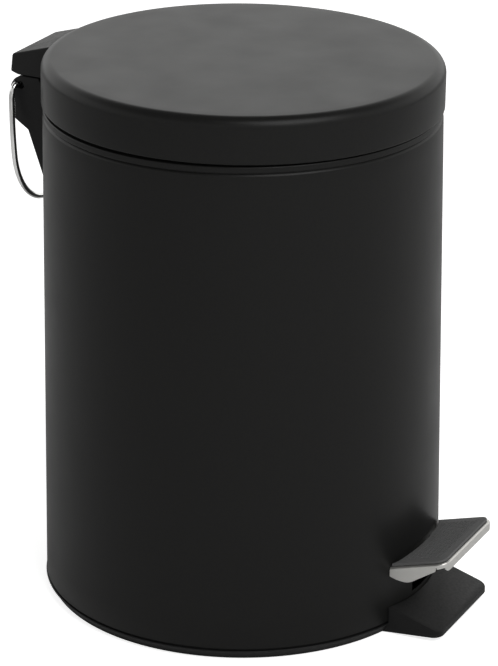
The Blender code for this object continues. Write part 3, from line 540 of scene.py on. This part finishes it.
class PEDALBIN_OT_base(bpy.types.Operator):
    """Makes the base ring and the guard foot in front of it"""

    bl_idname = "pedalbin.base"
    bl_label = "Base and guard foot"

    def execute(self, context):
        looks = context.scene.pedal_bin
        plastic = shared("moulded_plastic", moulding_finish, looks)
        spigot_r = BODY_FOOT_R - SHEET - 0.45 * MM
        inside_r = spigot_r - 2.2 * MM
        floor_z, spigot_z = 3 * MM, 11 * MM
        low_r = BASE_R - 2.6 * MM
        lip, toe, recess = 0.5 * MM, 1.0 * MM, 1.2 * MM
        line = [(0.0, floor_z), (inside_r, floor_z), (inside_r, spigot_z),
                (spigot_r, spigot_z), (spigot_r, BASE_H)]
        line += arc((BASE_R - lip, BASE_H - lip), lip, 90, 0, 5)
        line += arc((low_r - toe, toe), toe, 0, -90, 5)
        line += [(92 * MM, 0.0), (91.5 * MM, recess), (58.5 * MM, recess), (58 * MM, 0.0), (0.0, 0.0)]
        ring = settled(turned("base_ring", line), 30)
        fitted(ring, plastic, "bin", "black_plastic", "base_moulding")

        foot = foot_block(looks.edge_round)
        room_r, room_h = BODY_FOOT_R + 0.35 * MM, 30 * MM
        cut(foot, rod("body_room_tool", room_r, room_h, (0, 0, BASE_H + 15 * MM), "Z", FINE))
        fitted(settled(foot, 30), plastic, "bin", "black_plastic")
        return {"FINISHED"}


# ---------------------------------------------------------------- lid

class PEDALBIN_OT_lid(bpy.types.Operator):
    """Makes the coated lid with its round edge and the hem at the foot of its skirt"""

    bl_idname = "pedalbin.lid"
    bl_label = "Lid"

    def execute(self, context):
        coat = shared("powder_coat", coat_finish, context.scene.pedal_bin)
        hem = 0.9 * MM
        line = [(0.0, LID_TOP), (60 * MM, LID_TOP), (90 * MM, LID_TOP)]
        line += arc((LID_R - LID_FILLET, LID_TOP - LID_FILLET), LID_FILLET, 90, 0, 16)
        line += [(LID_R, LID_EDGE + 8 * MM)]
        line += arc((LID_R - hem, LID_EDGE + hem), hem, 0, -180, 10)
        line += [(LID_R - 2 * hem, LID_EDGE + 2.2 * MM)]
        lid = settled(thicken(turned("lid_skin", line), 0.5 * MM), 40)
        fitted(lean_with_lid(lid), coat, "lid", "black_coat", "lid_shell")
        return {"FINISHED"}


# ---------------------------------------------------------------- hinge

class PEDALBIN_OT_hinge(bpy.types.Operator):
    """Makes the bracket on the body and the cap with its tongue on the lid"""

    bl_idname = "pedalbin.hinge"
    bl_label = "Hinge bracket and cap"

    def execute(self, context):
        looks = context.scene.pedal_bin
        plastic = shared("moulded_plastic", moulding_finish, looks)
        self.make_cap(looks, plastic)
        self.make_bracket(looks, plastic)
        return {"FINISHED"}

    def make_cap(self, looks, plastic):
        inside_y = 96 * MM              # inside the lid, whose room cuts it off
        seam_z = 263 * MM
        line = [(inside_y, seam_z), (117.0 * MM, seam_z), (121.2 * MM, 264.4 * MM),
                (120.3 * MM, 272.6 * MM)]
        line += arc((118.5 * MM, 272.4 * MM), 1.8 * MM, 12, 66, 5)
        line += [(98.5 * MM, 280.1 * MM), (inside_y, 280.8 * MM)]
        cap = rounded(slab("cap_skin", line, HINGE_HALF), looks.edge_round, 3, 40)
        cut(cap, self.lid_room())
        fitted(lean_with_lid(settled(cap, 30)), plastic, "lid", "black_plastic", "hinge_cap")

        tongue_r, tongue_half = 5.4 * MM, 12.4 * MM
        root_z = seam_z + 1 * MM
        line = [(109.2 * MM, root_z), (PIN_Y - tongue_r, PIN_Z)]
        line += arc((PIN_Y, PIN_Z), tongue_r, 190, 360, 24)
        line += [(118.8 * MM, root_z)]
        tongue = rounded(slab("cap_tongue", line, tongue_half), 0.4 * MM, 2, 40)
        fitted(lean_with_lid(settled(tongue, 30)), plastic, "lid", "black_plastic")

    def lid_room(self):
        """The lid's outside with a hair of play, to cut the cap with."""
        play = 0.2 * MM
        fillet = LID_FILLET + play
        top = LID_TOP + play
        r = LID_R + play
        line = [(0.0, top)] + arc((r - fillet, top - fillet), fillet, 90, 0, 12)
        return turned("lid_room_tool", line + [(r, 240 * MM), (0.0, 240 * MM)])

    def make_bracket(self, looks, plastic):
        knuckle = 7.6 * MM
        inside_y = 94 * MM              # inside the body, whose room cuts it off
        front, rear = 102.4 * MM, 119.4 * MM
        foot_z, front_z = 203 * MM, 257.6 * MM
        line = [(inside_y, foot_z), (101.6 * MM, foot_z), (103.4 * MM, 210 * MM),
                (111.9 * MM, 234.4 * MM), (rear, 239.4 * MM), (rear, 250.6 * MM)]
        line += arc((PIN_Y, PIN_Z), knuckle, -22, 90, 20)
        line += [(104.9 * MM, PIN_Z + knuckle), (front, front_z), (inside_y, front_z)]
        bracket = rounded(slab("bracket_skin", line, HINGE_HALF), looks.edge_round, 3, 40)
        play = 0.1 * MM
        top, low = 280 * MM, 180 * MM
        cut(bracket, turned("body_room_tool", [
            (0.0, top), (front, top), (front, 251 * MM), (body_r(250 * MM) + play, 250 * MM),
            (body_r(low) + play, low), (0.0, low)]))
        slot_half = 12.9 * MM
        cut(bracket, block("tongue_slot_tool", (-slot_half, 106.5 * MM, PIN_Z - 6.2 * MM),
                           (slot_half, 130 * MM, 275 * MM)))
        bore_r, bore_length = 2.05 * MM, 38.8 * MM
        cut(bracket, rod("pin_bore_tool", bore_r, bore_length, (0, PIN_Y, PIN_Z)))
        for side in (-1, 1):
            middle = (side * 19.6 * MM, HANDLE_Y, HANDLE_Z)
            cut(bracket, rod("eye_tool", 1.8 * MM, 7.4 * MM, middle))
            pocket = (side * 21.2 * MM, HANDLE_Y - 2.4 * MM, HANDLE_Z - 0.3 * MM)
            cut(bracket, rod("pocket_tool", 2.0 * MM, 4.0 * MM, pocket))
        fitted(settled(bracket, 30), plastic, "bin", "black_plastic", "rear_bracket")


# ---------------------------------------------------------------- carry handle

def handle_line():
    """Half of the hanging handle, from inside the bracket to the middle of its bow, as (x, y, z)."""
    shoulder = 25.3 * MM            # half width just under the bracket
    wide = 28.1 * MM                # half width at the top of the bow
    bow_z = 222.0 * MM
    bow_drop = 29.0 * MM
    bend = 3.6 * MM
    lean = 0.078                    # it hangs a little towards the body
    route = [(15.5 * MM, HANDLE_Z), (19 * MM, HANDLE_Z)]
    route += [(shoulder - bend + bend * sin(radians(a)), HANDLE_Z - bend + bend * cos(radians(a)))
              for a in range(0, 87, 6)]
    start = HANDLE_Z - bend
    for k in range(1, 20):
        t = k / 20
        bulge = sin(t * pi / 2)
        route.append((shoulder + (wide - shoulder) * bulge, start + (bow_z - start) * t))
    route += [(wide * cos(radians(a)), bow_z - bow_drop * sin(radians(a))) for a in range(0, 90, 3)]
    points = []
    for x, z in route:
        drop = HANDLE_Z - z
        out = 1.3 * MM * min(1.0, drop / (6 * MM))
        points.append((x, HANDLE_Y + out - lean * drop, z))
    return points


class PEDALBIN_OT_handle(bpy.types.Operator):
    """Makes the chrome wire handle that hangs from the bracket"""

    bl_idname = "pedalbin.handle"
    bl_label = "Carry handle"

    def execute(self, context):
        chrome = shared("chrome", chrome_finish, context.scene.pedal_bin)
        wire_r = 1.5 * MM
        bow_low = 193.0 * MM
        half = handle_line()
        middle = (0.0, half[-1][1], bow_low)
        points = [(-x, y, z) for x, y, z in half] + [middle] + half[::-1]
        handle = bent_wire("handle_wire", points, wire_r)
        fitted(handle, chrome, "handle", "chrome_wire", "carry_handle")
        return {"FINISHED"}


# ---------------------------------------------------------------- pedal

def pedal_top(rho):
    """Height of the pedal plate's top at a distance in front of the body's axis."""
    return PEDAL_BACK_Z + (rho - PEDAL_BACK) * PEDAL_RISE


def side_flange_low(rho):
    """Height of a side flange's lower edge: a round belly, then a straight run up to the front."""
    back, belly, run = 95.2 * MM, 106.6 * MM, 111.0 * MM
    low = 30.0 * MM
    belly_rise = 5.2 * MM           # from the belly up to the back corner
    climb = 0.65                    # slope of the straight run
    if rho < belly:
        share = min(1.0, (belly - rho) / (belly - back))
        return low + belly_rise * (1 - sqrt(max(0.0, 1 - share ** 2)))
    if rho < run:
        return low + climb * (rho - belly) ** 2 / (2 * (run - belly))
    return low + climb * (run - belly) / 2 + climb * (rho - run)


def plate_rim(corner, inset):
    """Points round the plate from one back corner to the other, each with its outward direction."""
    half = PEDAL_HALF - inset
    front = PEDAL_FRONT - inset
    back = sqrt((body_r(PEDAL_BACK_Z) + 0.6 * MM) ** 2 - half ** 2)
    straight = front - corner
    rim = []
    for k in range(49):
        rho = back + (straight - back) * k / 48
        rim.append((-half, -rho, -1.0, 0.0))
    for a in range(2, 90, 2):
        away = Vector((-cos(radians(a)), -sin(radians(a))))
        rim.append((-half + corner + corner * away.x, -straight + corner * away.y, away.x, away.y))
    for k in range(25):
        x = (-half + corner) * (1 - k / 12)
        rim.append((x, -front, 0.0, -1.0))
    return rim + [(-x, y, -nx, ny) for x, y, nx, ny in reversed(rim[:-25])]


def flange_low(x, rho):
    """Lower edge of the plate's flange: the side flange, the slot, and the front flange, which is
    shallow round the corner and deep between the corners."""
    slot_start, slot_end = 123.0 * MM, 123.9 * MM
    slot_depth, corner_depth, extra_depth = 1.6 * MM, 2.6 * MM, 2.5 * MM
    if rho < slot_start:
        return side_flange_low(rho)
    if rho < slot_end:
        return pedal_top(rho) - slot_depth
    inward = PEDAL_HALF - abs(x)
    share = min(1.0, max(0.0, (inward - 2.2 * MM) / (2.6 * MM)))
    return pedal_top(rho) - corner_depth - extra_depth * sqrt(1 - (1 - share) ** 2)


def pressed_plate(name):
    """The pedal plate: one pressed sheet with a bent rim, deep at the sides and slotted at the corners."""
    bend = 1.3 * MM
    corner = 6 * MM
    work = bmesh.new()
    rows = []
    for x, y, nx, ny in plate_rim(corner, 0.0):
        row = []
        for a in range(0, 91, 15):
            back_off = bend * (1 - sin(radians(a)))
            px, py = x - nx * back_off, y - ny * back_off
            row.append(work.verts.new((px, py, pedal_top(-py) - bend * (1 - cos(radians(a))))))
        upper = pedal_top(-y) - bend
        lower = min(upper - 0.1 * MM, flange_low(x, -y))
        for k in range(1, 5):
            row.append(work.verts.new((x, y, upper + (lower - upper) * k / 4)))
        rows.append(row)
    for one, two in zip(rows[:-1], rows[1:]):
        for k in range(len(one) - 1):
            work.faces.new((one[k], one[k + 1], two[k + 1], two[k]))
    inner = [row[0] for row in rows]
    r = body_r(PEDAL_BACK_Z) + 0.6 * MM
    reach = PEDAL_HALF - bend
    back_edge = []
    for k in range(1, 16):
        x = reach - 2 * reach * k / 16
        y = -sqrt(r ** 2 - x ** 2)
        back_edge.append(work.verts.new((x, y, pedal_top(-y))))
    work.faces.new(inner + back_edge)
    bmesh.ops.recalc_face_normals(work, faces=work.faces)
    mesh = bpy.data.meshes.new(name)
    work.to_mesh(mesh)
    work.free()
    plate = linked(name, mesh)
    top = max(mesh.polygons, key=lambda p: p.area)
    if top.normal.z < 0:
        mesh.flip_normals()
    return settled(thicken(plate, 0.9 * MM), 35)


def pad_slab(name, looks):
    """The rubber pad: a thin slab with a soft edge and a field of small raised squares."""
    lift = 0.25 * MM                # off the steel
    soft = 0.55 * MM                # radius of its edge
    corner = 4.6 * MM
    work = bmesh.new()
    rows = []
    rim = plate_rim(corner, PAD_INSET)
    r = body_r(PEDAL_BACK_Z) + 1.2 * MM
    back = [(PEDAL_HALF - PAD_INSET) * (1 - k / 8) for k in range(1, 16)]
    rim += [(x, -sqrt(r ** 2 - x ** 2), x / r, sqrt(r ** 2 - x ** 2) / r) for x in back]
    for x, y, nx, ny in rim:
        row = [work.verts.new((x, y, pedal_top(-y) + lift))]
        for a in (0, 22, 45, 68, 90):
            back_off = soft * (1 - cos(radians(a)))
            px, py = x - nx * back_off, y - ny * back_off
            height = lift + PAD_THICK - soft + soft * sin(radians(a))
            row.append(work.verts.new((px, py, pedal_top(-py) + height)))
        rows.append(row)
    for one, two in zip(rows, rows[1:] + rows[:1]):
        for k in range(len(one) - 1):
            work.faces.new((one[k], one[k + 1], two[k + 1], two[k]))
    work.faces.new([row[-1] for row in rows])
    work.faces.new([row[0] for row in rows])
    bmesh.ops.recalc_face_normals(work, faces=work.faces)
    raise_squares(work, looks, lift + PAD_THICK)
    mesh = bpy.data.meshes.new(name)
    work.to_mesh(mesh)
    work.free()
    return settled(linked(name, mesh), 30)


def raise_squares(work, looks, surface):
    """Adds the raised squares, each a low block with a smaller top, inside the pad's plain border."""
    pitch = looks.grid_pitch
    border = 4.2 * MM
    foot, crown = 0.40 * pitch, 0.30 * pitch
    across = PEDAL_HALF - PAD_INSET - border
    front = PEDAL_FRONT - PAD_INSET - border
    columns = int(2 * across / pitch)
    for i in range(columns):
        x = (i - (columns - 1) / 2) * pitch
        nearest = sqrt((body_r(PEDAL_BACK_Z) + 3.0 * MM) ** 2 - x ** 2) + foot
        rho = front - foot
        while rho > nearest:
            ring = []
            for reach, rise in ((foot, -0.1 * MM), (crown, looks.grid_height)):
                for sx, sy in ((-1, -1), (1, -1), (1, 1), (-1, 1)):
                    px, py = x + sx * reach, -rho + sy * reach
                    ring.append(work.verts.new((px, py, pedal_top(-py) + surface + rise)))
            for k in range(4):
                n = (k + 1) % 4
                work.faces.new((ring[k], ring[n], ring[n + 4], ring[k + 4]))
            work.faces.new(ring[4:])
            rho -= pitch


class PEDALBIN_OT_pedal(bpy.types.Operator):
    """Makes the pressed steel plate of the pedal and its rubber pad"""

    bl_idname = "pedalbin.pedal"
    bl_label = "Pedal"

    def execute(self, context):
        looks = context.scene.pedal_bin
        steel = shared("satin_steel", steel_finish, looks)
        rubber = shared("pad_rubber", pad_finish, looks)
        fitted(pressed_plate("plate_skin"), steel, "pedal", "satin_steel", "pedal_plate")
        fitted(pad_slab("pad_skin", looks), rubber, "pedal", "pad_rubber", "pedal_pad")
        return {"FINISHED"}


# ---------------------------------------------------------------- bucket

class PEDALBIN_OT_bucket(bpy.types.Operator):
    """Makes the lift-out bucket, its two ears and the wire bail"""

    bl_idname = "pedalbin.bucket"
    bl_label = "Bucket and bail"

    def execute(self, context):
        plastic = shared("bucket_plastic", bucket_finish, context.scene.pedal_bin)
        zinc = shared("zinc_plate", zinc_finish)
        self.make_bucket(plastic)
        for name, side in (("bucket_ear_left", -1), ("bucket_ear_right", 1)):
            self.make_ear(name, side, plastic)
        self.make_bail(zinc)
        return {"FINISHED"}

    def make_bucket(self, plastic):
        wall, skirt = 1.6 * MM, 1.2 * MM
        top_r, bottom_r = 84.5 * MM, 80.0 * MM
        top, low = BUCKET_TOP, BUCKET_BOTTOM
        round_foot, lip, roll = 5 * MM, 0.8 * MM, 1.0 * MM
        skirt_low = top - 4 * MM
        line = [(0.0, low + wall)]
        line += arc((bottom_r - wall - round_foot, low + wall + round_foot), round_foot, -90, 0, 8)
        line += [(top_r - wall, top - lip)]
        line += arc((top_r - wall + lip, top - lip), lip, 180, 90, 4)
        line += arc((BUCKET_RIM_R - roll, top - roll), roll, 90, 0, 5)
        line += [(BUCKET_RIM_R, skirt_low), (BUCKET_RIM_R - skirt, skirt_low),
                 (BUCKET_RIM_R - skirt, top - wall), (top_r, top - wall)]
        line += arc((bottom_r - round_foot, low + round_foot), round_foot, 0, -90, 8)
        line += [(0.0, low)]
        bucket = settled(turned("bucket_skin", line), 35)
        fitted(bucket, plastic, "bucket", "bucket_plastic", "inner_bucket")

    def make_ear(self, name, side, plastic):
        """One of the two ears on the rim that the bail turns in."""
        place = side * 85.5 * MM
        root_half, root_z = 6 * MM, BUCKET_TOP - 1 * MM
        ear_r, half_thick, hole_r = 4.5 * MM, 1.1 * MM, 1.55 * MM
        line = [(-root_half, root_z), (root_half, root_z), (ear_r, BAIL_Z)]
        line += arc((0.0, BAIL_Z), ear_r, 10, 170, 20)
        line += [(-ear_r, BAIL_Z)]
        ear = rounded(slab(name, line, half_thick, place), 0.4 * MM, 2, 40)
        cut(ear, rod("ear_hole_tool", hole_r, 10 * MM, (place, 0, BAIL_Z)))
        fitted(settled(ear, 30), plastic, "bucket", "bucket_plastic")

    def make_bail(self, zinc):
        """The wire bail, lying level just above the rim."""
        wire_r = 1.25 * MM
        sweep = 81.5 * MM
        end = [(88 * MM, 0.0), (83.5 * MM, 0.0), (82.2 * MM, -0.8 * MM)]
        bow = [(sweep * cos(radians(a)), -sweep * sin(radians(a))) for a in range(2, 179, 3)]
        route = end + bow + [(-x, y) for x, y in reversed(end)]
        points = [(x, y, BAIL_Z) for x, y in route]
        fitted(bent_wire("bail_wire", points, wire_r), zinc, "bail", "zinc_plate", "bucket_bail")


# ---------------------------------------------------------------- hidden works

class PEDALBIN_OT_works(bpy.types.Operator):
    """Gives the CAD parts of the hidden works their materials"""

    bl_idname = "pedalbin.works"
    bl_label = "Hidden works"

    def execute(self, context):
        looks = context.scene.pedal_bin
        finishes = {
            "zinc_plate": shared("zinc_plate", zinc_finish),
            "black_plastic": shared("moulded_plastic", moulding_finish, looks),
            "black_rubber": shared("stud_rubber", stud_finish),
            "satin_steel": shared("satin_steel", steel_finish, looks),
        }
        slots = {row["node"]: row["material_slot"] for row in frame["record"]["subparts"]}
        for name, node in frame["nodes"].items():
            if node.hide_render:
                continue
            node.data.materials.clear()
            node.data.materials.append(finishes[slots[name]])
        return {"FINISHED"}


# ---------------------------------------------------------------- stage

class PEDALBIN_OT_stage(bpy.types.Operator):
    """Makes the pale floor, the soft studio light and the camera"""

    bl_idname = "pedalbin.stage"
    bl_label = "Stage"

    def execute(self, context):
        looks = context.scene.pedal_bin
        self.make_floor(looks)
        self.make_light(context)
        self.make_camera(context)
        return {"FINISHED"}

    def make_floor(self, looks):
        """A pale floor. It looks white, and throws less light back at the bin than it shows."""
        floor_r, just_under = 9.0, -0.2 * MM
        bpy.ops.mesh.primitive_circle_add(vertices=96, radius=floor_r, fill_type="NGON",
                                          location=(0.0, 0.0, just_under))
        floor = bpy.context.object
        floor.name = "studio_floor"
        finish = Finish("studio_floor", looks.floor, 0.9)
        finish.shader.inputs["Specular IOR Level"].default_value = 0.0
        finish.vary_colour(finish.noise(4.0, 3.0), 0.985, 1.0)
        finish.shader.inputs["Emission Color"].default_value = (1.0, 1.0, 1.0, 1.0)
        finish.shader.inputs["Emission Strength"].default_value = 0.75
        tree = finish.tree
        dim = tree.nodes.new("ShaderNodeBsdfDiffuse")
        dim.inputs["Color"].default_value = (0.85, 0.85, 0.85, 1.0)
        seen = tree.nodes.new("ShaderNodeLightPath")
        mix = tree.nodes.new("ShaderNodeMixShader")
        finish.link(seen.outputs["Is Camera Ray"], mix.inputs[0])
        finish.link(dim.outputs["BSDF"], mix.inputs[1])
        finish.link(finish.shader.outputs["BSDF"], mix.inputs[2])
        finish.link(mix.outputs["Shader"], tree.nodes["Material Output"].inputs["Surface"])
        floor.data.materials.append(finish.material)

    def make_light(self, context):
        """A room that is bright behind the bin, less so in front of it and dim overhead, and a softbox.
        The camera itself sees it as white."""
        world = bpy.data.worlds.new("studio")
        context.scene.world = world
        world.use_nodes = True
        tree = world.node_tree
        room = tree.nodes["Background"]
        places = tree.nodes.new("ShaderNodeTexCoord")
        toward = tree.nodes.new("ShaderNodeVectorMath")
        toward.operation = "DOT_PRODUCT"
        toward.inputs[1].default_value = (sin(-VIEW_HEADING), cos(VIEW_HEADING), 0.0)
        tree.links.new(places.outputs["Generated"], toward.inputs[0])
        around = map_range(tree, toward.outputs["Value"], -0.5, 0.5, 0.6, 1.3)
        split = tree.nodes.new("ShaderNodeSeparateXYZ")
        tree.links.new(places.outputs["Generated"], split.inputs["Vector"])
        overhead = map_range(tree, split.outputs["Z"], 0.52, 0.68, 1.0, 0.1)
        strength = tree.nodes.new("ShaderNodeMath")
        strength.operation = "MULTIPLY"
        tree.links.new(around, strength.inputs[0])
        tree.links.new(overhead, strength.inputs[1])
        tree.links.new(strength.outputs["Value"], room.inputs["Strength"])
        room.inputs["Color"].default_value = (1.0, 1.0, 0.99, 1.0)

        shown = tree.nodes.new("ShaderNodeBackground")
        seen = tree.nodes.new("ShaderNodeLightPath")
        mix = tree.nodes.new("ShaderNodeMixShader")
        tree.links.new(seen.outputs["Is Camera Ray"], mix.inputs[0])
        tree.links.new(room.outputs["Background"], mix.inputs[1])
        tree.links.new(shown.outputs["Background"], mix.inputs[2])
        tree.links.new(mix.outputs["Shader"], tree.nodes["World Output"].inputs["Surface"])
        softbox("front_softbox", (-0.68, -1.24, 1.81), 1.3, 24.0)
        context.scene.view_settings.view_transform = "Standard"

    def make_camera(self, context):
        lens = bpy.data.cameras.new("studio_camera")
        lens.lens = 171.6
        lens.sensor_width = 36.0
        lens.clip_start = 0.05
        lens.clip_end = 50.0
        camera = bpy.data.objects.new("studio_camera", lens)
        context.scene.collection.objects.link(camera)
        heading = VIEW_HEADING
        back, aside, height = 1.515, 0.003, 0.7344
        camera.location = (sin(heading) * back + cos(heading) * aside,
                           -cos(heading) * back + sin(heading) * aside, height)
        pitch, roll = radians(21.57), radians(0.115)
        turn = Matrix.Rotation(heading, 4, "Z") @ Matrix.Rotation(pi / 2 - pitch, 4, "X")
        camera.rotation_euler = (turn @ Matrix.Rotation(roll, 4, "Z")).to_euler()
        lens.shift_x = 0.0005
        lens.shift_y = -0.0015
        context.scene.camera = camera


def softbox(name, place, size, power):
    """A square soft light that points at the bin's middle."""
    lamp = bpy.data.lights.new(name, "AREA")
    lamp.shape = "SQUARE"
    lamp.size = size
    lamp.energy = power
    thing = bpy.data.objects.new(name, lamp)
    bpy.context.scene.collection.objects.link(thing)
    thing.location = place
    middle = Vector((0.0, 0.0, 0.14))
    aim = middle - Vector(place)
    thing.rotation_euler = aim.to_track_quat("-Z", "Y").to_euler()
    return thing


# ---------------------------------------------------------------- add-on

STEPS = (PEDALBIN_OT_body, PEDALBIN_OT_base, PEDALBIN_OT_lid, PEDALBIN_OT_hinge, PEDALBIN_OT_handle,
         PEDALBIN_OT_pedal, PEDALBIN_OT_bucket, PEDALBIN_OT_works, PEDALBIN_OT_stage)


class PEDALBIN_PT_panel(bpy.types.Panel):
    """Lists the colours, the sizes and the pieces"""

    bl_idname = "PEDALBIN_PT_panel"
    bl_label = "Pedal Bin"
    bl_space_type = "VIEW_3D"
    bl_region_type = "UI"
    bl_category = "Pedal Bin"

    def draw(self, context):
        for field in PedalBinLooks.bl_rna.properties.keys():
            if field not in ("rna_type", "name"):
                self.layout.prop(context.scene.pedal_bin, field)
        for step in STEPS:
            self.layout.operator(step.bl_idname)


CLASSES = (PedalBinLooks, *STEPS, PEDALBIN_PT_panel)


def register():
    for item in CLASSES:
        bpy.utils.register_class(item)
    bpy.types.Scene.pedal_bin = bpy.props.PointerProperty(type=PedalBinLooks)


def unregister():
    del bpy.types.Scene.pedal_bin
    for item in reversed(CLASSES):
        bpy.utils.unregister_class(item)


def main():
    register()
    for thing in list(bpy.data.objects):
        if thing.type in ("LIGHT", "CAMERA") or thing.name == "Cube":
            bpy.data.objects.remove(thing, do_unlink=True)
    bpy.ops.pedalbin.body()
    bpy.ops.pedalbin.base()
    bpy.ops.pedalbin.lid()
    bpy.ops.pedalbin.hinge()
    bpy.ops.pedalbin.handle()
    bpy.ops.pedalbin.pedal()
    bpy.ops.pedalbin.bucket()
    bpy.ops.pedalbin.works()
    bpy.ops.pedalbin.stage()


if __name__ == "__main__":
    main()
